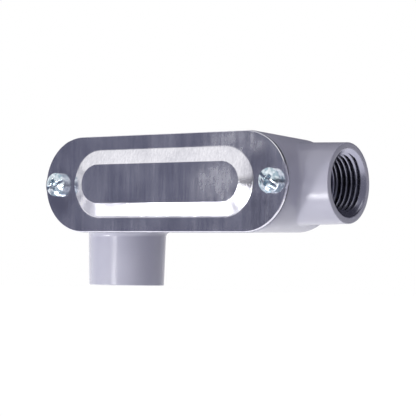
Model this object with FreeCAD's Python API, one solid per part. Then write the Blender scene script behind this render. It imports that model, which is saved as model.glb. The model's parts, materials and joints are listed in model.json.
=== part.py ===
# A conduit body for half-inch conduit: an oblong cast housing with one threaded hub on its end
# and one on its side, closed by a pressed sheet cover that two screws hold down on a gasket.
#
# Lengths are in millimetres. X runs along the housing towards the end hub, Y runs back from the
# cover and Z is up. The origin is on the side hub's axis, at the start of its thread.

import FreeCAD, Part
import math
import os

# Cover sheet
cover_length = 102.8
cover_width = 33.5
cover_thickness = 0.95
cover_edge_chamfer = 0.2
ear_overhang = 0.3

# Panel pressed forward out of the cover
panel_end_margin = 13.1
panel_side_margin = 5.1
panel_rise = 1.6
panel_slope_run = 4.85
panel_foot_bend = 3.0
panel_top_bend = 1.3
panel_blank_margin = 1.5

# Gasket
gasket_thickness = 0.7
gasket_inset = 0.2
gasket_lap = 0.3
gasket_ear_margin = 0.3

# Cast housing
rim_overhang = 0.2
rim_chamfer = 0.35
rim_trim = 4.0
housing_draft = 1.55
back_round = 4.0
wall_thickness = 2.6
floor_chamfer = 2.0

# Hubs, and how far the cover and the housing stand out past a hub's mouth
hub_side_margin = 3.25
hub_front_margin = 8.2
hub_back_margin = 1.45
hub_draft = 1.5
hub_mouth_chamfer = 0.4
hub_root_round = 1.6
end_hub_reach = 10.4
side_hub_reach = 18.65
side_hub_inset = 20.4

# Hub bores: a countersink, the threaded length, and a smooth bushing that saves the wires
hub_mouth_land = 1.9
countersink_run = 2.44
countersink_depth = 1.4
thread_length = 10.6
bushing_lip = 1.26
bushing_length = 1.0
bushing_chamfer = 0.4
throat_relief = 0.9
throat_flare = 0.4

# Screws and their bosses
screw_inset = 5.85
screw_thread_radius = 2.08
screw_length = 9.5
screw_tip_chamfer = 0.4
tapped_clearance = 0.04
cover_hole_clearance = 0.35
screw_head_radius = 4.15
screw_head_height = 3.0
screw_head_rim = 1.8
slot_width = 1.1
slot_depth = 1.1
cross_width = 1.35
cross_length = 4.2
cross_depth = 1.6
cross_taper = 0.8
left_slot_angle = -20.0
right_slot_angle = 35.0
boss_wall = 1.88
boss_throat_clearance = 3.0

# How far a cutting shape runs past the surface it opens, and how near two places lie that touch
overcut = 1.0
touching = 0.001

# Radii that follow from the sizes above
cover_radius = cover_width / 2
hub_mouth_radius = cover_radius - hub_side_margin
countersink_radius = hub_mouth_radius - hub_mouth_land
thread_minor_radius = countersink_radius - countersink_run
bushing_radius = thread_minor_radius - bushing_lip
throat_radius = bushing_radius + throat_relief
rim_radius = cover_radius + rim_overhang
cavity_radius = rim_radius - wall_thickness
ear_radius = screw_inset + ear_overhang
boss_radius = screw_thread_radius + tapped_clearance + boss_wall
clear_hole_radius = screw_thread_radius + cover_hole_clearance

# Places that follow, measured from the middle of the cover and from the plane of both hub axes
cover_half_span = (cover_length - cover_width) / 2
panel_half_span = cover_half_span - panel_end_margin + panel_side_margin
cover_front = -(hub_mouth_radius + hub_front_margin)
cover_back = cover_front + cover_thickness
rim_plane = cover_back + gasket_thickness
housing_back = hub_mouth_radius + hub_back_margin
cavity_floor = housing_back - wall_thickness
screw_place = cover_length / 2 - screw_inset
end_mouth = cover_length / 2 + end_hub_reach
side_mouth = cover_radius + side_hub_reach
side_hub_place = side_hub_inset - cover_length / 2
thread_end = countersink_depth + thread_length
boss_bottom = -(throat_radius + boss_throat_clearance)
origin = FreeCAD.Vector(side_hub_place, 0, countersink_depth - side_mouth)

CENTRE = FreeCAD.Vector(0, 0, 0)
ALONG = FreeCAD.Vector(1, 0, 0)
BACKWARD = FreeCAD.Vector(0, 1, 0)
UP = FreeCAD.Vector(0, 0, 1)


def draft_step(length, degrees):
    """Sideways growth of a wall with this draft over this length."""
    return length * math.tan(math.radians(degrees))


def rounded_face(corners):
    """Flat face in the plane X = 0. A corner is (distance from the axis, place along Y, radius)."""
    places = [FreeCAD.Vector(0, along, distance) for distance, along, radius in corners]
    edges = []
    starts = []
    ends = []
    for index, here in enumerate(places):
        radius = corners[index][2]
        to_last = (places[index - 1] - here).normalize()
        to_next = (places[(index + 1) % len(places)] - here).normalize()
        half_angle = to_last.getAngle(to_next) / 2
        reach = radius / math.tan(half_angle)
        starts.append(here + to_last * reach)
        ends.append(here + to_next * reach)
        if radius > 0:
            inward = (to_last + to_next).normalize()
            middle = here + inward * (radius / math.sin(half_angle) - radius)
            edges.append(Part.Arc(starts[-1], middle, ends[-1]).toShape())
    for index, end in enumerate(ends):
        start = starts[(index + 1) % len(starts)]
        if (start - end).Length > touching:
            edges.append(Part.makeLine(end, start))
    return Part.Face(Part.Wire(Part.__sortEdges__(edges)))


def turned(corners):
    """Solid turned about the Y axis from a section."""
    return rounded_face(corners).revolve(CENTRE, BACKWARD, 360)


def oblong(corners, half_span):
    """Solid swept round an oblong: half turns at its two ends and straight runs between them."""
    section = rounded_face(corners)
    opposite = section.copy()
    opposite.rotate(CENTRE, BACKWARD, 180)
    right = ALONG * half_span
    pieces = []
    pieces.append(section.translated(right).revolve(right, BACKWARD, 180))
    pieces.append(opposite.translated(-right).revolve(-right, BACKWARD, 180))
    pieces.append(section.translated(-right).extrude(right * 2))
    pieces.append(opposite.translated(-right).extrude(right * 2))
    return pieces[0].multiFuse(pieces[1:]).removeSplitter()


def plate(radius, half_span, front, back, inner_radius=0):
    """Flat oblong plate between two depths, or a flat ring where it has an inner radius."""
    return oblong([
        (inner_radius, front, 0),
        (radius, front, 0),
        (radius, back, 0),
        (inner_radius, back, 0),
    ], half_span)


def post(x, radius, front, back):
    """Round post along Y on the housing's long axis."""
    return Part.makeCylinder(radius, back - front, ALONG * x + BACKWARD * front, BACKWARD)


def drilled(solid, radius, front, back):
    """Solid with a round hole through it at each screw."""
    for side in (-1, 1):
        solid = solid.cut(post(side * screw_place, radius, front - overcut, back + overcut))
    return solid


def placed(shape, position, direction):
    """Copy of a shape made about the Y axis, stood at a position with that axis along a direction."""
    copy = shape.copy()
    copy.Placement = FreeCAD.Placement(position, FreeCAD.Rotation(BACKWARD, direction))
    return copy


def hub_places():
    """Mouth centre and inward direction of the end hub and of the side hub."""
    end = (ALONG * end_mouth, -ALONG)
    side = (ALONG * side_hub_place - UP * side_mouth, UP)
    return (end, side)


def hub_outside(length):
    """Outside of a hub from its mouth inwards, wider towards the housing."""
    root_radius = hub_mouth_radius + draft_step(length, hub_draft)
    return turned([
        (0, 0, 0),
        (hub_mouth_radius - hub_mouth_chamfer, 0, 0),
        (hub_mouth_radius, hub_mouth_chamfer, 0),
        (root_radius, length, 0),
        (0, length, 0),
    ])


def hub_bore(length):
    """Hollow of a hub: countersink, threaded length, bushing lip and the flare into the chamber."""
    bushing_end = thread_end + bushing_length
    return turned([
        (0, -overcut, 0),
        (countersink_radius, -overcut, 0),
        (countersink_radius, 0, 0),
        (thread_minor_radius, countersink_depth, 0),
        (thread_minor_radius, thread_end, 0),
        (bushing_radius + bushing_chamfer, thread_end, 0),
        (bushing_radius, thread_end + bushing_chamfer, 0),
        (bushing_radius, bushing_end, 0),
        (throat_radius, bushing_end + throat_flare, 0),
        (throat_radius, length, 0),
        (0, length, 0),
    ])


def on_skin(place, solid):
    """True where a place lies on the outer surface of a solid."""
    return Part.Vertex(place).distToShape(solid.Shells[0])[0] < touching


def meeting_edges(joined, first, second):
    """Edges of a joined solid along which the two first solids' surfaces cross."""
    found = []
    for edge in joined.Edges:
        middle = edge.valueAt((edge.FirstParameter + edge.LastParameter) / 2)
        if on_skin(middle, first) and on_skin(middle, second):
            found.append(edge)
    return found


def edges_in_plane(solid, y):
    """Edges that lie wholly in the plane at this depth."""
    found = []
    for edge in solid.Edges:
        box = edge.BoundBox
        if abs(box.YMin - y) < touching and abs(box.YMax - y) < touching:
            found.append(edge)
    return found


def block_in_front(solid, y):
    """Block that covers all of a solid in front of the plane at this depth."""
    box = solid.BoundBox
    corner = FreeCAD.Vector(box.XMin - overcut, box.YMin - overcut, box.ZMin - overcut)
    return Part.makeBox(box.XLength + overcut * 2, y - corner.y, box.ZLength + overcut * 2, corner)


def housing_outside():
    """Drafted oblong shell with both hubs blended in, cast proud of the rim and trimmed flat."""
    trim_plane = rim_plane - rim_trim
    back_radius = rim_radius - draft_step(housing_back - rim_plane, housing_draft)
    body = oblong([
        (0, trim_plane, 0),
        (rim_radius + draft_step(rim_trim, housing_draft), trim_plane, 0),
        (back_radius, housing_back, back_round),
        (0, housing_back, 0),
    ], cover_half_span)
    (end_place, end_inward), (side_place, side_inward) = hub_places()
    end_hub = placed(hub_outside(end_hub_reach + cover_radius), end_place, end_inward)
    side_hub = placed(hub_outside(side_mouth), side_place, side_inward)
    for hub in (end_hub, side_hub):
        joined = body.fuse(hub)
        body = joined.makeFillet(hub_root_round, meeting_edges(joined, body, hub))
    body = body.cut(block_in_front(body, rim_plane))
    return body.makeChamfer(rim_chamfer, edges_in_plane(body, rim_plane))


def cavity():
    """Wiring chamber, open at the rim, with drafted walls and a bevel round its floor."""
    floor_radius = cavity_radius - draft_step(cavity_floor - rim_plane, housing_draft)
    return oblong([
        (0, rim_plane - overcut, 0),
        (cavity_radius + draft_step(overcut, housing_draft), rim_plane - overcut, 0),
        (floor_radius, cavity_floor - floor_chamfer, 0),
        (floor_radius - floor_chamfer, cavity_floor, 0),
        (0, cavity_floor, 0),
    ], cover_half_span)


def screw_boss():
    """Lug for the right cover screw, joined to the end wall by a web as wide as itself."""
    lug = post(screw_place, boss_radius, rim_plane, boss_bottom)
    web_end = cover_half_span + cavity_radius + wall_thickness / 2
    web = Part.makeBox(web_end - screw_place, boss_bottom - rim_plane, boss_radius * 2,
                       FreeCAD.Vector(screw_place, rim_plane, -boss_radius))
    return lug.fuse(web)


def make_body():
    """Cast housing: shell, hubs, chamber, bosses and bores in one piece."""
    body = housing_outside().cut(cavity())
    for turn in (0, 180):
        boss = screw_boss()
        boss.rotate(CENTRE, BACKWARD, turn)
        body = body.fuse(boss)
    past_wall = wall_thickness + cover_radius / 2
    (end_place, end_inward), (side_place, side_inward) = hub_places()
    body = body.cut(placed(hub_bore(end_hub_reach + past_wall), end_place, end_inward))
    body = body.cut(placed(hub_bore(side_hub_reach + past_wall), side_place, side_inward))
    body = drilled(body, screw_thread_radius + tapped_clearance, rim_plane, boss_bottom)
    return body.removeSplitter()


def make_gasket():
    """Flat gasket ring with an ear round each screw."""
    outer_radius = cover_radius - gasket_inset
    inner_radius = cavity_radius - gasket_lap
    gasket = plate(outer_radius, cover_half_span, cover_back, rim_plane, inner_radius)
    outline = plate(outer_radius, cover_half_span, cover_back, rim_plane)
    for side in (-1, 1):
        ear = post(side * screw_place, boss_radius + gasket_ear_margin, cover_back, rim_plane)
        gasket = gasket.fuse(ear.common(outline))
    return drilled(gasket, clear_hole_radius, cover_back, rim_plane).removeSplitter()


def pressed_panel(foot_radius, edge_radius):
    """Raised panel of the cover out to a given distance from its spine, of even thickness."""
    top_radius = foot_radius - panel_slope_run
    slope = math.atan2(panel_rise, panel_slope_run)
    shift = cover_thickness * math.tan(slope / 2)
    top_front = cover_front - panel_rise
    return oblong([
        (0, top_front, 0),
        (top_radius, top_front, panel_top_bend),
        (foot_radius, cover_front, panel_foot_bend),
        (edge_radius, cover_front, 0),
        (edge_radius, cover_back, 0),
        (foot_radius - shift, cover_back, panel_foot_bend + cover_thickness),
        (top_radius - shift, top_front + cover_thickness, panel_top_bend - cover_thickness),
        (0, top_front + cover_thickness, 0),
    ], panel_half_span)


def make_cover():
    """Cover pressed from sheet: flat flange, raised panel, ears and two screw holes."""
    flange = plate(cover_radius, cover_half_span, cover_front, cover_back)
    for side in (-1, 1):
        flange = flange.fuse(post(side * screw_place, ear_radius, cover_front, cover_back))
    flange = flange.removeSplitter()
    flange = flange.makeChamfer(cover_edge_chamfer, edges_in_plane(flange, cover_front))
    foot_radius = cover_radius - panel_side_margin
    edge_radius = foot_radius + panel_blank_margin
    window = plate(edge_radius, panel_half_span, cover_front - overcut, cover_back + overcut)
    cover = flange.cut(window).fuse(pressed_panel(foot_radius, edge_radius))
    return drilled(cover, clear_hole_radius, cover_front, cover_back).removeSplitter()


def driver_recess(crown):
    """Slot across a screw head with a cross whose four wings slope in to its floor."""
    reach = screw_head_radius + overcut
    recess = Part.makeBox(reach * 2, slot_depth + overcut, slot_width,
                          FreeCAD.Vector(-reach, crown - overcut, -slot_width / 2))
    mouth = cross_length / 2
    foot = mouth - cross_taper
    outline = [(-mouth, -overcut), (mouth, -overcut), (mouth, 0), (foot, cross_depth),
               (-foot, cross_depth), (-mouth, 0), (-mouth, -overcut)]
    places = [FreeCAD.Vector(x, crown + depth, -cross_width / 2) for x, depth in outline]
    for turn in (0, 90):
        wing = Part.Face(Part.makePolygon(places)).extrude(UP * cross_width)
        wing.rotate(CENTRE, BACKWARD, turn)
        recess = recess.fuse(wing)
    return recess.removeSplitter()


def make_screw(side, slot_angle):
    """Round head machine screw, its shallow dome cut by a slot and a cross recess."""
    crown = cover_front - screw_head_height
    tip = cover_front + screw_length
    dome_rise = screw_head_height - screw_head_rim
    dome_radius = (screw_head_radius ** 2 + dome_rise ** 2) / (dome_rise * 2)
    dome = Part.makeSphere(dome_radius, BACKWARD * (crown + dome_radius))
    head = post(0, screw_head_radius, crown, cover_front).common(dome)
    shank = turned([
        (0, cover_front - overcut, 0),
        (screw_thread_radius, cover_front - overcut, 0),
        (screw_thread_radius, tip - screw_tip_chamfer, 0),
        (screw_thread_radius - screw_tip_chamfer, tip, 0),
        (0, tip, 0),
    ])
    screw = head.fuse(shank).cut(driver_recess(crown))
    screw.rotate(CENTRE, BACKWARD, slot_angle)
    return screw.translated(ALONG * side * screw_place).removeSplitter()


def main():
    os.makedirs("parts", exist_ok=True)
    pieces = {
        "body": make_body(),
        "gasket": make_gasket(),
        "cover": make_cover(),
        "cover_screw_left": make_screw(-1, left_slot_angle),
        "cover_screw_right": make_screw(1, right_slot_angle),
    }
    for name, shape in pieces.items():
        part = shape.Solids[0].translated(-origin)
        part.exportStep("parts/" + name + ".step")
        print(name, "solids", len(shape.Solids), "valid", part.isValid(), "mm3", round(part.Volume, 1))


main()
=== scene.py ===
import bpy
import bmesh
import json
import math
from mathutils import Matrix, Vector

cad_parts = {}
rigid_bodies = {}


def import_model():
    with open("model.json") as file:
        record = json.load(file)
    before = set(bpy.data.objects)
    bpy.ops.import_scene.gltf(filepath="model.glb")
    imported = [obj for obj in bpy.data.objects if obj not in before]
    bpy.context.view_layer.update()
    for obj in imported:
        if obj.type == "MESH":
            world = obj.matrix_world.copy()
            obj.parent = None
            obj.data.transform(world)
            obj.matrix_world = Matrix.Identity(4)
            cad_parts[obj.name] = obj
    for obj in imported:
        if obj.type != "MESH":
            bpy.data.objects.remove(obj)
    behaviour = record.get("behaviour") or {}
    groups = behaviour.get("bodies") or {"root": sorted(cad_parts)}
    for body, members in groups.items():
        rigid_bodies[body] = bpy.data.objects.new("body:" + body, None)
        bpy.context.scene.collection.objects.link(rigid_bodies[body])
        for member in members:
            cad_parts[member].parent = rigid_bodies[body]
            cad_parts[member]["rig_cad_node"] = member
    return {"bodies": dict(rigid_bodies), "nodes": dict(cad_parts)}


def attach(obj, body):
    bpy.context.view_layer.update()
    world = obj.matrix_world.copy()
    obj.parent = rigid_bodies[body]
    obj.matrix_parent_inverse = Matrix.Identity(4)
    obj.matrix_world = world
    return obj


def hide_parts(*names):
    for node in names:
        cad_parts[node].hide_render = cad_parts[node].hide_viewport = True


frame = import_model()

SCENE = bpy.context.scene
MM = 0.001
FULL_TURN = 2 * math.pi

# Objects of Blender's start-up file aren't part of the scene
kept = set(frame["nodes"].values()) | set(frame["bodies"].values())
for stray in [o for o in bpy.data.objects if o not in kept]:
    bpy.data.objects.remove(stray)
bpy.context.view_layer.update()

# Camera at the photograph's place, from a fit to the cover's outline and both hubs
CAMERA_PLACE = (0.374585, -0.471304, 0.005378)
CAMERA_RIGHT = Vector((0.81211, 0.58327, 0.01658))
CAMERA_DOWN = Vector((-0.00746, 0.03878, -0.99922))
CAMERA_FORWARD = Vector((-0.58345, 0.81136, 0.03584))
CAMERA_LENS = 143.713
CAMERA_RANGE = (0.01, 50.0)
SENSOR = 36.0

# Hub mouths: centre of the mouth and the direction into the hub
END_MOUTH = Vector((92.8, 0.0, 34.0)) * MM
SIDE_MOUTH = Vector((0.0, 0.0, -1.4)) * MM
END_INWARD = Vector((-1.0, 0.0, 0.0))
SIDE_INWARD = Vector((0.0, 0.0, 1.0))

# Sizes at a hub's mouth, as in the CAD model
MOUTH_RADIUS = 13.5 * MM
MOUTH_CHAMFER = 0.4 * MM
COUNTERSINK_RADIUS = 11.6 * MM
COUNTERSINK_DEPTH = 1.4 * MM
MINOR_RADIUS = 9.16 * MM
THREAD_END = 12.0 * MM

# Half-inch taper pipe thread, 14 to the inch. It starts on an entry cone of its own, whose radius
# shrinks by ENTRY_SLOPE for each unit of depth, and stands a little wider at the mouth
PITCH = 25.4 / 14 * MM
THREAD_HEIGHT = 1.35 * MM
MOUTH_WIDENING = 0.5 * MM
ENTRY_SLOPE = 1.5
TAPER = 0.07
RUNOUT = 1.2 * MM

# Half a pitch of the thread from a crest's middle: share of the pitch, share of the height. The
# thread is laid out for some turns beyond its ends, so that every column reaches both
THREAD_SECTION = [
    (0.0, 0.0), (0.028, 0.0), (0.05, 0.025), (0.08, 0.09), (0.19, 0.355), (0.31, 0.645),
    (0.42, 0.91), (0.45, 0.975), (0.475, 1.0),
]
SPARE_TURNS = 2

# Meshing of the mouths: columns round the axis, steps of the rounded edge, slack with which the
# CAD mesh is recognised, and the narrow strips that join old and new surfaces
COLUMNS = 96
MOUTH_STEPS = 6
SECTION_SLACK = 0.02 * MM
RING_GAP = 0.04 * MM
LAND_GAP = 4 * RING_GAP
WELD_DISTANCE = 1e-6
SAME_DEPTH = 1e-9

# Shading and the screws' broken edges, with angles in degrees
CREASE_ANGLE = 35.0
FLAT_ANGLE = 0.5
SCREW_EDGE = 0.07 * MM
SCREW_EDGE_SEGMENTS = 2

# Colours of the finishes
ENAMEL_COLORS = ((0.475, 0.475, 0.56), (0.515, 0.512, 0.59))
# Bare metal of the cut threads, its colour darkened as painted shade inside the bores
SHADED_CUT_METAL_COLOR = (0.38, 0.38, 0.46)
SHEET_COLORS = ((0.55, 0.545, 0.61), (0.96, 0.95, 1.0))
GASKET_COLORS = ((0.03, 0.03, 0.035), (0.06, 0.06, 0.065))
ZINC_COLORS = ((0.36, 0.47, 0.55), (0.82, 0.88, 0.93))
FLOOR_COLOR = (0.72, 0.72, 0.74)
WHITE = (1.0, 1.0, 1.0)
BLACK = (0.0, 0.0, 0.0)

# Usual reach of a noise's values, a narrower one, and the ranges of a mask
NOISE_REACH = (0.3, 0.7)
NARROW_REACH = (0.35, 0.65)
NONE_TO_ALL = (0.0, 1.0)
ALL_TO_NONE = (1.0, 0.0)

# Enamel: roughness by its clouds and what grit adds to it, relief of its orange peel and its grit
# with the strength of both, and the width over which it ends at a cut thread
ENAMEL_ROUGHNESS = (0.2, 0.25)
GRIT_ROUGHNESS = (-0.02, 0.04)
PEEL_RELIEF = 0.04 * MM
GRIT_RELIEF = 0.01 * MM
ENAMEL_BUMP = 0.3
ENAMEL_EDGE = 0.3 * MM

# Sheet: what each pattern adds to the tone, which blends the two colours
WIDE_GRAIN_TONE = (0.22, 0.38)
GRAIN_TONE = (-0.05, 0.3)
SPECKLE_TONE = (-0.07, 0.07)
CLOUD_TONE = (0.0, 0.35)
# Painted shade round the screws: how much it takes from the tone
SCREW_SHADE_TONE = 0.9

# Sheet: roughness by its wide grain and what clouds and scuffs add to it, and relief of its grain
# and its scuffs with the strength of both
SHEET_ROUGHNESS = (0.14, 0.2)
CLOUD_ROUGHNESS = (-0.01, 0.03)
CLOUD_ROUGHNESS_REACH = (0.35, 0.7)
SCUFF_ROUGHNESS = 0.14
GRAIN_RELIEF = 0.006 * MM
SCUFF_RELIEF = 0.02 * MM
SHEET_BUMP = 0.5

# Patches of the cover, each as a centre and half sizes in mm: scuffed pale, and painted shade
# round the screws. A patch fades between these shares of its half sizes, and blotches break it up
SCUFFED = [((55.0, -22.0, 33.5), (11.0, 40.0, 7.5)), ((64.0, -22.0, 46.5), (15.0, 40.0, 6.0))]
SCREW_SHADE_PATCHES = [((71.5, -22.0, 38.0), (6.0, 40.0, 7.0)), ((73.0, -22.0, 23.0), (7.0, 40.0, 8.0)),
           ((-13.0, -22.0, 31.0), (7.0, 40.0, 8.0))]
PATCH_FADE = (0.55, 1.25)
SCUFF_BLOTCHES = (0.2, 1.0)
SCREW_SHADE_BLOTCHES = (0.3, 1.0)

# Gasket, screws and floor: roughness, and relief with its strength
GASKET_ROUGHNESS = 0.75
GASKET_RELIEF = 0.03 * MM
GASKET_BUMP = 0.4
ZINC_ROUGHNESS = (0.12, 0.24)
ZINC_BLEND_REACH = (0.38, 0.62)
ZINC_RELIEF = 0.3 * MM
ZINC_BUMP = 0.5
FLOOR_ROUGHNESS = 0.9

# Studio
OBJECT_MIDDLE = Vector((31.0, -5.0, 25.0)) * MM
FLOOR_HEIGHT = -0.35
FLOOR_REACH = 20.0
FLOOR_GLOW = 0.85
WORLD_COLOR = (0.86, 0.85, 1.0)
WORLD_LIGHT = 0.18
FILL_COLOR = (0.93, 0.92, 1.0)

# Lamps: name, direction from the object, distance and size in metres, watts, seen in reflections
LAMPS = [
    ("front", (-0.07, -1.0, -0.215), 0.5, (0.09, 0.13), 0.62, True),
    ("low_left", (-0.498, -0.686, -0.531), 0.471, (0.08, 0.06), 1.05, True),
    ("left", (-0.57, -0.82, 0.0), 0.9, (0.6, 0.6), 0.7, False),
    ("high", (0.1, -0.8, 0.6), 0.9, (0.6, 0.6), 1.5, False),
    ("right", (0.9, -0.4, 0.2), 0.9, (0.6, 0.6), 1.15, False),
    ("back", (-0.35, 0.9, 0.2), 0.9, (0.8, 0.8), 4.4, False),
    ("top", (-0.2, 0.6, 0.8), 0.9, (0.8, 0.8), 2.1, False),
]

# Flags: name, azimuths and elevations in degrees seen from the object's middle, and tone. Azimuth
# 0 is in front of the cover and 90 is beyond the end hub
FLAGS = [
    ("wide_flag", (-74.0, -22.0), (-9.0, 15.0), (0.135, 0.14, 0.2)),
    ("front_flag", (-22.0, 35.0), (-8.0, 7.0), (0.03, 0.03, 0.05)),
    ("right_flag", (35.0, 120.0), (-14.0, 35.0), (0.3, 0.3, 0.35)),
    ("back_flag", (110.0, 250.0), (4.0, 72.0), (0.06, 0.06, 0.08)),
    ("low_flag", (-80.0, 80.0), (-45.0, -14.0), (0.54, 0.54, 0.6)),
]
FLAG_REACH = 1.5
FLAG_STEPS = 24
FLAG_CLEARANCE = 2 * MM


def linked(name, data):
    """Object of a mesh, camera or light, in the scene."""
    item = bpy.data.objects.new(name, data)
    SCENE.collection.objects.link(item)
    return item


def stored(name, bm):
    """Mesh of a bmesh, which is freed."""
    mesh = bpy.data.meshes.new(name)
    bm.to_mesh(mesh)
    bm.free()
    return mesh


def finished(name, bm):
    """Piece from a bmesh, smooth except over sharp creases."""
    bmesh.ops.recalc_face_normals(bm, faces=bm.faces)
    mesh = stored(name, bm)
    for polygon in mesh.polygons:
        polygon.use_smooth = True
    mesh.set_sharp_from_angle(angle=math.radians(CREASE_ANGLE))
    piece = linked(name, mesh)
    normals = piece.modifiers.new("even_normals", "WEIGHTED_NORMAL")
    normals.keep_sharp = True
    return piece


def welded_copy(node):
    """Bmesh of a CAD node with its corners joined."""
    bm = bmesh.new()
    bm.from_mesh(frame["nodes"][node].data)
    bmesh.ops.remove_doubles(bm, verts=bm.verts, dist=WELD_DISTANCE)
    return bm


def cone_radius(depth):
    """Radius of the CAD model's countersink at a depth below the mouth."""
    slope = (COUNTERSINK_RADIUS - MINOR_RADIUS) / COUNTERSINK_DEPTH
    return COUNTERSINK_RADIUS - slope * depth


def lead_radius(depth):
    """Radius of the entry cone at a depth, a little less steep than the CAD model's."""
    return COUNTERSINK_RADIUS - ENTRY_SLOPE * depth


def thread_radius(depth, rise):
    """Radius of the thread at a depth, for a share of its height. It fades at its inner end."""
    fade = min(max((THREAD_END - RING_GAP - depth) / RUNOUT, 0.0), 1.0)
    return MINOR_RADIUS + (MOUTH_WIDENING + THREAD_HEIGHT * rise - TAPER * depth) * fade


class Hub:
    """A hub's mouth as a place to measure from and build on."""

    def __init__(self, mouth, inward):
        self.mouth = mouth
        self.inward = inward
        self.side = inward.orthogonal().normalized()
        self.other = inward.cross(self.side)

    def measure(self, point):
        """Depth below the mouth, distance from the axis and angle round it."""
        offset = point - self.mouth
        depth = offset.dot(self.inward)
        flat = offset - self.inward * depth
        angle = math.atan2(flat.dot(self.other), flat.dot(self.side)) % FULL_TURN
        return depth, flat.length, angle

    def point(self, angle, radius, depth):
        """Place at an angle round the axis, a distance from it and a depth below the mouth."""
        out = self.side * math.cos(angle) + self.other * math.sin(angle)
        return self.mouth + out * radius + self.inward * depth


def on_old_mouth(hub, point):
    """True on the plain mouth, countersink or thread wall of the CAD solid."""
    depth, radius, _ = hub.measure(point)
    if depth < -SECTION_SLACK or depth > THREAD_END + SECTION_SLACK:
        return False
    on_ring = depth < MOUTH_CHAMFER + SECTION_SLACK and radius < MOUTH_RADIUS + SECTION_SLACK
    on_cone = depth < COUNTERSINK_DEPTH and abs(radius - cone_radius(depth)) < SECTION_SLACK
    return on_ring or on_cone or abs(radius - MINOR_RADIUS) < SECTION_SLACK


def open_ring(bm, hub, depth, radius):
    """Open vertices on a circle round the hub's axis, as (angle, vertex) in order."""
    ring = []
    for vert in bm.verts:
        if vert.is_boundary:
            here_depth, here_radius, angle = hub.measure(vert.co)
            at_depth = abs(here_depth - depth) < SECTION_SLACK
            if at_depth and abs(here_radius - radius) < SECTION_SLACK:
                ring.append((angle, vert))
    return sorted(ring, key=lambda item: item[0])


def ring_angle(ring, index):
    """Angle of a ring's vertex, counted on past a full turn."""
    return ring[index % len(ring)][0] + FULL_TURN * (index // len(ring))


def ring_vert(ring, index):
    """Vertex of a ring, round and round."""
    return ring[index % len(ring)][1]


def zip_rings(bm, first, second):
    """Strip of triangles between two rings about one axis."""
    i = 0
    j = 0
    while i < len(first) or j < len(second):
        first_is_next = ring_angle(first, i + 1) <= ring_angle(second, j + 1)
        here_first = ring_vert(first, i)
        here_second = ring_vert(second, j)
        if j == len(second) or (i < len(first) and first_is_next):
            bm.faces.new((here_first, ring_vert(first, i + 1), here_second))
            i += 1
        else:
            bm.faces.new((here_second, here_first, ring_vert(second, j + 1)))
            j += 1


def column_angle(column):
    """Angle of a column round a hub's axis."""
    return FULL_TURN * column / COLUMNS


def mouth_section():
    """Radii and depths along the rounded mouth, from the outer wall to the countersink."""
    section = []
    for step in range(MOUTH_STEPS + 1):
        turn = math.pi / 2 * step / MOUTH_STEPS
        section.append((MOUTH_RADIUS - MOUTH_CHAMFER * (1 - math.cos(turn)),
                        (MOUTH_CHAMFER - RING_GAP) * (1 - math.sin(turn))))
    section.append((COUNTERSINK_RADIUS + LAND_GAP, 0.0))
    return section


def thread_places(column):
    """Depths and radii down one column of the thread, from the mouth's inner edge."""
    places = []
    mirrored = [(-share, rise) for share, rise in reversed(THREAD_SECTION[1:])]
    for turn in range(-SPARE_TURNS, int(THREAD_END / PITCH) + 1 + SPARE_TURNS):
        for share, rise in mirrored + THREAD_SECTION:
            raw = (turn + share + column / COLUMNS) * PITCH
            depth = min(max(raw, RING_GAP), THREAD_END - RING_GAP)
            places.append((depth, max(lead_radius(depth), thread_radius(depth, rise))))
    return places


def add_mouth(bm, hub):
    """Builds the rounded mouth. Returns its outermost and innermost rings."""
    section = mouth_section()
    columns = []
    for column in range(COLUMNS):
        angle = column_angle(column)
        columns.append([bm.verts.new(hub.point(angle, r, d)) for r, d in section])
    for column, left in enumerate(columns):
        right = columns[(column + 1) % COLUMNS]
        for row in range(len(section) - 1):
            bm.faces.new((left[row], right[row], right[row + 1], left[row + 1]))
    outermost = [(column_angle(column), verts[0]) for column, verts in enumerate(columns)]
    innermost = [(column_angle(column), verts[-1]) for column, verts in enumerate(columns)]
    return outermost, innermost


def add_thread(bm, hub):
    """Builds the thread. Rows follow the helix, and places beyond its ends fold onto end rings."""
    columns = []
    for column in range(COLUMNS + 1):
        angle = column_angle(column)
        verts = []
        last_depth = None
        for depth, radius in thread_places(column):
            if last_depth is not None and abs(depth - last_depth) < SAME_DEPTH:
                verts.append(verts[-1])
            else:
                verts.append(bm.verts.new(hub.point(angle, radius, depth)))
            last_depth = depth
        columns.append(verts)
    for left, right in zip(columns, columns[1:]):
        for row in range(len(left) - 1):
            corners = dict.fromkeys((left[row], right[row], right[row + 1], left[row + 1]))
            if len(corners) > 2:
                bm.faces.new(list(corners))
    seam = list(dict.fromkeys(columns[0] + columns[-1]))
    bmesh.ops.remove_doubles(bm, verts=seam, dist=WELD_DISTANCE)


def rebuild_mouth(bm, hub):
    """Puts a rounded mouth, an entry cone and a helical thread in place of a hub's plain ones."""
    doomed = [f for f in bm.faces if all(on_old_mouth(hub, v.co) for v in f.verts)]
    bmesh.ops.delete(bm, geom=doomed, context="FACES")
    bmesh.ops.delete(bm, geom=[v for v in bm.verts if not v.link_faces], context="VERTS")
    outer_wall = open_ring(bm, hub, MOUTH_CHAMFER, MOUTH_RADIUS)
    bushing = open_ring(bm, hub, THREAD_END, MINOR_RADIUS)
    outermost, innermost = add_mouth(bm, hub)
    zip_rings(bm, outer_wall, outermost)
    add_thread(bm, hub)
    zip_rings(bm, innermost, open_ring(bm, hub, RING_GAP, lead_radius(RING_GAP)))
    zip_rings(bm, open_ring(bm, hub, THREAD_END - RING_GAP, MINOR_RADIUS), bushing)


def make_casting():
    """The casting, with rounded hub mouths and real threads."""
    bm = welded_copy("body")
    for hub in (Hub(END_MOUTH, END_INWARD), Hub(SIDE_MOUTH, SIDE_INWARD)):
        rebuild_mouth(bm, hub)
    piece = finished("housing_casting", bm)
    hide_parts("body")
    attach(piece, "root")
    return piece


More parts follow.
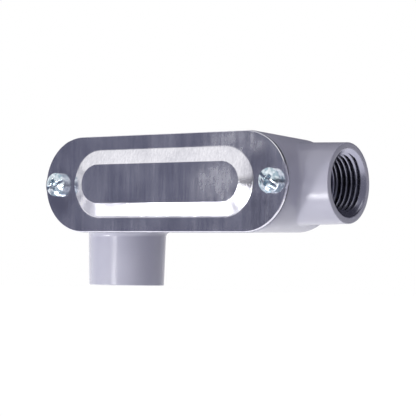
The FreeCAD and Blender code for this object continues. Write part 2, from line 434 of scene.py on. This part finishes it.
def make_screw(node, name):
    """A cover screw with the edges of its head and recess broken."""
    bm = welded_copy(node)
    flat = math.radians(FLAT_ANGLE)
    bmesh.ops.dissolve_limit(bm, angle_limit=flat, verts=bm.verts, edges=bm.edges)
    piece = finished(name, bm)
    bevel = piece.modifiers.new("broken_edges", "BEVEL")
    bevel.width = SCREW_EDGE
    bevel.segments = SCREW_EDGE_SEGMENTS
    bevel.limit_method = "ANGLE"
    bevel.angle_limit = math.radians(CREASE_ANGLE)
    bevel.harden_normals = True
    piece.modifiers.move(len(piece.modifiers) - 1, 0)
    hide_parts(node)
    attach(piece, "root")
    return piece


def principled(name, color=None, roughness=None, metallic=0.0):
    """Material with a principled shader. Returns it with its tree and shader."""
    material = bpy.data.materials.new(name)
    material.use_nodes = True
    shader = material.node_tree.nodes["Principled BSDF"]
    shader.inputs["Metallic"].default_value = metallic
    if color is not None:
        shader.inputs["Base Color"].default_value = (*color, 1.0)
    if roughness is not None:
        shader.inputs["Roughness"].default_value = roughness
    return material, material.node_tree, shader


def dress(piece, material):
    """Gives a piece a material. A CAD node keeps its mesh, so its object carries it."""
    if "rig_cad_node" in piece:
        slot = piece.material_slots[0]
        slot.link = "OBJECT"
        slot.material = material
    else:
        piece.data.materials.clear()
        piece.data.materials.append(material)


def feed(tree, socket, value):
    """Feeds a socket with a link, a number or a colour."""
    if isinstance(value, bpy.types.NodeSocket):
        tree.links.new(value, socket)
    elif isinstance(value, tuple):
        socket.default_value = (*value, 1.0)
    else:
        socket.default_value = value


def noise(tree, scale, detail=3.0, roughness=0.5, stretch=(1.0, 1.0, 1.0)):
    """Noise over the object's own coordinates, with its scale in waves per metre."""
    coords = tree.nodes.new("ShaderNodeTexCoord")
    mapping = tree.nodes.new("ShaderNodeMapping")
    mapping.inputs["Scale"].default_value = stretch
    tree.links.new(coords.outputs["Object"], mapping.inputs["Vector"])
    node = tree.nodes.new("ShaderNodeTexNoise")
    node.inputs["Scale"].default_value = scale
    node.inputs["Detail"].default_value = detail
    node.inputs["Roughness"].default_value = roughness
    tree.links.new(mapping.outputs["Vector"], node.inputs["Vector"])
    return node.outputs["Fac"]


def spread(tree, value, target, reach=NOISE_REACH):
    """Maps the reach of a value to a target range, and holds it there."""
    node = tree.nodes.new("ShaderNodeMapRange")
    node.inputs["From Min"].default_value, node.inputs["From Max"].default_value = reach
    node.inputs["To Min"].default_value, node.inputs["To Max"].default_value = target
    tree.links.new(value, node.inputs["Value"])
    return node.outputs["Result"]


def combine(tree, operation, first, second):
    """Math of two values, each a link or a number."""
    node = tree.nodes.new("ShaderNodeMath")
    node.operation = operation
    feed(tree, node.inputs[0], first)
    feed(tree, node.inputs[1], second)
    return node.outputs[0]


def vector_math(tree, operation, vector, fixed=None):
    """Outputs of vector math on a link, with a fixed second vector where there is one."""
    node = tree.nodes.new("ShaderNodeVectorMath")
    node.operation = operation
    tree.links.new(vector, node.inputs[0])
    if fixed is not None:
        node.inputs[1].default_value = fixed
    return node.outputs


def blend_colors(tree, factor, first, second):
    """Blend of two colours, each a link or a colour."""
    node = tree.nodes.new("ShaderNodeMix")
    node.data_type = "RGBA"
    feed(tree, node.inputs["A"], first)
    feed(tree, node.inputs["B"], second)
    tree.links.new(factor, node.inputs["Factor"])
    return node.outputs["Result"]


def bump(tree, height, distance, strength, under=None):
    """Bump from a height. Distance is in metres."""
    node = tree.nodes.new("ShaderNodeBump")
    node.inputs["Distance"].default_value = distance
    node.inputs["Strength"].default_value = strength
    tree.links.new(height, node.inputs["Height"])
    if under is not None:
        tree.links.new(under, node.inputs["Normal"])
    return node.outputs["Normal"]


def inside_bore(tree, hub):
    """1 within a hub's cut thread, fading to 0 over a short step of radius and depth."""
    coords = tree.nodes.new("ShaderNodeTexCoord")
    away = vector_math(tree, "SUBTRACT", coords.outputs["Object"], hub.mouth)["Vector"]
    depth = vector_math(tree, "DOT_PRODUCT", away, hub.inward)["Value"]
    cross = vector_math(tree, "CROSS_PRODUCT", away, hub.inward)["Vector"]
    radius = vector_math(tree, "LENGTH", cross)["Value"]
    enamel_to_metal = (COUNTERSINK_RADIUS, COUNTERSINK_RADIUS - ENAMEL_EDGE)
    near = spread(tree, radius, NONE_TO_ALL, enamel_to_metal)
    shallow = spread(tree, depth, NONE_TO_ALL, (THREAD_END + ENAMEL_EDGE, THREAD_END))
    return combine(tree, "MULTIPLY", near, shallow)


def patches(tree, places):
    """1 within oblong patches of the cover, given by their centres and half sizes in mm."""
    coords = tree.nodes.new("ShaderNodeTexCoord")
    widest = None
    for centre, reach in places:
        mapping = tree.nodes.new("ShaderNodeMapping")
        mapping.inputs["Location"].default_value = [-c / r for c, r in zip(centre, reach)]
        mapping.inputs["Scale"].default_value = [1 / (r * MM) for r in reach]
        tree.links.new(coords.outputs["Object"], mapping.inputs["Vector"])
        length = vector_math(tree, "LENGTH", mapping.outputs["Vector"])["Value"]
        mask = spread(tree, length, ALL_TO_NONE, PATCH_FADE)
        widest = mask if widest is None else combine(tree, "MAXIMUM", widest, mask)
    return widest


def paint_material():
    """Light grey enamel over a sand casting, and the bare metal of the cut threads, its colour
    darkened as painted shade inside the bores.
    """
    material, tree, shader = principled("grey_enamel")
    bare = combine(tree, "MAXIMUM", inside_bore(tree, Hub(END_MOUTH, END_INWARD)),
                   inside_bore(tree, Hub(SIDE_MOUTH, SIDE_INWARD)))
    peel = noise(tree, scale=520.0, detail=2.0)
    grit = noise(tree, scale=2600.0, roughness=0.6)
    cloud = noise(tree, scale=70.0, detail=2.0)
    enamel = blend_colors(tree, spread(tree, cloud, NONE_TO_ALL), *ENAMEL_COLORS)
    # The cut threads get bare metal, its colour darkened as painted shade
    color = blend_colors(tree, bare, enamel, SHADED_CUT_METAL_COLOR)
    tree.links.new(color, shader.inputs["Base Color"])
    tree.links.new(bare, shader.inputs["Metallic"])
    dullness = combine(tree, "ADD", spread(tree, cloud, ENAMEL_ROUGHNESS),
                       spread(tree, grit, GRIT_ROUGHNESS))
    tree.links.new(dullness, shader.inputs["Roughness"])
    soft = bump(tree, peel, PEEL_RELIEF, ENAMEL_BUMP)
    gritty = bump(tree, grit, GRIT_RELIEF, ENAMEL_BUMP, under=soft)
    tree.links.new(gritty, shader.inputs["Normal"])
    return material


def sheet_material():
    """Bright rolled sheet: a fine grain across the cover, dull clouds, scuffed patches and painted
    shade round the screws.
    """
    material, tree, shader = principled("rolled_sheet", metallic=1.0)
    grain = noise(tree, scale=1.0, detail=4.0, roughness=0.65, stretch=(1500.0, 1500.0, 70.0))
    wide_grain = noise(tree, scale=1.0, roughness=0.6, stretch=(420.0, 420.0, 30.0))
    blotch = noise(tree, scale=300.0, detail=5.0, roughness=0.7, stretch=(1.0, 1.0, 0.6))
    speckle = noise(tree, scale=1400.0, roughness=0.6)
    cloud = noise(tree, scale=60.0)
    scuff = combine(tree, "MULTIPLY", patches(tree, SCUFFED),
                    spread(tree, blotch, SCUFF_BLOTCHES))
    # Painted shade round the screws, broken up by blotches
    screw_shade = combine(tree, "MULTIPLY", patches(tree, SCREW_SHADE_PATCHES),
                    spread(tree, blotch, SCREW_SHADE_BLOTCHES))

    # Tone, from 0 for the darker colour to 1 for the lighter one
    fine = combine(tree, "ADD", spread(tree, grain, GRAIN_TONE),
                   spread(tree, speckle, SPECKLE_TONE, NARROW_REACH))
    streaks = combine(tree, "ADD", spread(tree, wide_grain, WIDE_GRAIN_TONE), fine)
    tone = combine(tree, "ADD", streaks, spread(tree, cloud, CLOUD_TONE, NARROW_REACH))
    # Painted shade darkens the sheet round the screws
    tone = combine(tree, "SUBTRACT", tone, combine(tree, "MULTIPLY", screw_shade, SCREW_SHADE_TONE))
    tree.links.new(blend_colors(tree, tone, *SHEET_COLORS), shader.inputs["Base Color"])

    rolled = combine(tree, "ADD", spread(tree, wide_grain, SHEET_ROUGHNESS),
                     spread(tree, cloud, CLOUD_ROUGHNESS, CLOUD_ROUGHNESS_REACH))
    dullness = combine(tree, "ADD", rolled, combine(tree, "MULTIPLY", scuff, SCUFF_ROUGHNESS))
    tree.links.new(dullness, shader.inputs["Roughness"])
    lines = bump(tree, grain, GRAIN_RELIEF, SHEET_BUMP)
    scratches = combine(tree, "MULTIPLY", speckle, scuff)
    marked = bump(tree, scratches, SCUFF_RELIEF, SHEET_BUMP, under=lines)
    tree.links.new(marked, shader.inputs["Normal"])
    return material


def rubber_material():
    """Dark gasket sheet with a fine cut grain."""
    material, tree, shader = principled("gasket_sheet", roughness=GASKET_ROUGHNESS)
    grain = noise(tree, scale=1800.0)
    tree.links.new(blend_colors(tree, grain, *GASKET_COLORS), shader.inputs["Base Color"])
    tree.links.new(bump(tree, grain, GASKET_RELIEF, GASKET_BUMP), shader.inputs["Normal"])
    return material


def zinc_material():
    """Bright zinc plate with a cold blue tint, rubbed where the driver and the die touched it."""
    material, tree, shader = principled("zinc_plate", metallic=1.0)
    cloud = noise(tree, scale=700.0)
    dents = noise(tree, scale=700.0, detail=1.0)
    tint = spread(tree, cloud, NONE_TO_ALL, ZINC_BLEND_REACH)
    tree.links.new(blend_colors(tree, tint, *ZINC_COLORS), shader.inputs["Base Color"])
    tree.links.new(spread(tree, cloud, ZINC_ROUGHNESS), shader.inputs["Roughness"])
    tree.links.new(bump(tree, dents, ZINC_RELIEF, ZINC_BUMP), shader.inputs["Normal"])
    return material


def make_camera():
    """Camera at the photograph's viewing angle."""
    data = bpy.data.cameras.new("camera")
    data.lens = CAMERA_LENS
    data.sensor_width = SENSOR
    data.clip_start, data.clip_end = CAMERA_RANGE
    camera = linked("camera", data)
    axes = Matrix((CAMERA_RIGHT.normalized(), -CAMERA_DOWN.normalized(),
                   -CAMERA_FORWARD.normalized()))
    camera.matrix_world = Matrix.Translation(CAMERA_PLACE) @ axes.transposed().to_4x4()
    SCENE.camera = camera


def area_lamp(name, direction, distance, size, watts, mirrored):
    """Soft rectangular lamp that shines at the object's middle, seen in reflections or not."""
    data = bpy.data.lights.new(name, "AREA")
    data.shape = "RECTANGLE"
    data.size = size[0]
    data.size_y = size[1]
    data.energy = watts
    data.color = WHITE if mirrored else FILL_COLOR
    lamp = linked(name, data)
    away = Vector(direction).normalized()
    lamp.location = OBJECT_MIDDLE + away * distance
    lamp.rotation_mode = "QUATERNION"
    lamp.rotation_quaternion = (-away).to_track_quat("-Z", "Y")
    lamp.visible_camera = False
    lamp.visible_glossy = mirrored


def shows_background(tree):
    """Value that is 1 for rays that see the background: camera, glossy and transmission rays."""
    path = tree.nodes.new("ShaderNodeLightPath")
    seen = combine(tree, "MAXIMUM", path.outputs["Is Camera Ray"], path.outputs["Is Glossy Ray"])
    return combine(tree, "MAXIMUM", seen, path.outputs["Is Transmission Ray"])


def make_world():
    """Soft light from all round, behind a white background."""
    world = bpy.data.worlds.new("studio")
    world.use_nodes = True
    SCENE.world = world
    tree = world.node_tree
    light = tree.nodes["Background"]
    light.inputs["Color"].default_value = (*WORLD_COLOR, 1.0)
    light.inputs["Strength"].default_value = WORLD_LIGHT
    backdrop = tree.nodes.new("ShaderNodeBackground")
    backdrop.inputs["Color"].default_value = (*WHITE, 1.0)
    backdrop.inputs["Strength"].default_value = 1.0
    mix = tree.nodes.new("ShaderNodeMixShader")
    tree.links.new(shows_background(tree), mix.inputs["Fac"])
    tree.links.new(light.outputs[0], mix.inputs[1])
    tree.links.new(backdrop.outputs[0], mix.inputs[2])
    tree.links.new(mix.outputs[0], tree.nodes["World Output"].inputs["Surface"])


def make_flag(name, azimuths, elevations, tone):
    """Cloth that hangs round the set or lies on its floor, seen only in reflections."""
    lowest = FLOOR_HEIGHT + FLAG_CLEARANCE - OBJECT_MIDDLE.z
    bm = bmesh.new()
    rows = []
    for elevation in elevations:
        row = []
        for step in range(FLAG_STEPS + 1):
            turned = azimuths[0] + (azimuths[1] - azimuths[0]) * step / FLAG_STEPS
            azimuth = math.radians(turned)
            rise = math.tan(math.radians(elevation))
            offset = Vector((math.sin(azimuth), -math.cos(azimuth), rise)) * FLAG_REACH
            if offset.z < lowest:
                offset *= lowest / offset.z
            row.append(bm.verts.new(OBJECT_MIDDLE + offset))
        rows.append(row)
    for step in range(FLAG_STEPS):
        bm.faces.new((rows[0][step], rows[0][step + 1], rows[1][step + 1], rows[1][step]))
    flag = linked(name, stored(name, bm))
    flag.visible_camera = False
    flag.visible_diffuse = False
    flag.visible_shadow = False
    flag.visible_transmission = False
    material, _, shader = principled(name, BLACK, roughness=1.0)
    shader.inputs["Emission Color"].default_value = (*tone, 1.0)
    shader.inputs["Emission Strength"].default_value = 1.0
    dress(flag, material)


def make_floor():
    """Pale floor that shows white and keeps the object's shadow."""
    bm = bmesh.new()
    bmesh.ops.create_grid(bm, x_segments=1, y_segments=1, size=FLOOR_REACH)
    floor = linked("floor", stored("floor", bm))
    floor.location = (0.0, 0.0, FLOOR_HEIGHT)
    material, tree, shader = principled("pale_floor", FLOOR_COLOR, FLOOR_ROUGHNESS)
    glow = tree.nodes.new("ShaderNodeEmission")
    glow.inputs["Color"].default_value = (*WHITE, 1.0)
    seen_glow = combine(tree, "MULTIPLY", shows_background(tree), FLOOR_GLOW)
    tree.links.new(seen_glow, glow.inputs["Strength"])
    both = tree.nodes.new("ShaderNodeAddShader")
    tree.links.new(shader.outputs[0], both.inputs[0])
    tree.links.new(glow.outputs[0], both.inputs[1])
    tree.links.new(both.outputs[0], tree.nodes["Material Output"].inputs["Surface"])
    dress(floor, material)


casting = make_casting()
dress(casting, paint_material())
dress(frame["nodes"]["cover"], sheet_material())
dress(frame["nodes"]["gasket"], rubber_material())
zinc = zinc_material()
for node, name in (("cover_screw_left", "left_screw"), ("cover_screw_right", "right_screw")):
    dress(make_screw(node, name), zinc)

make_camera()
make_world()
make_floor()
for flag in FLAGS:
    make_flag(*flag)
for lamp in LAMPS:
    area_lamp(*lamp)
SCENE.view_settings.view_transform = "Standard"
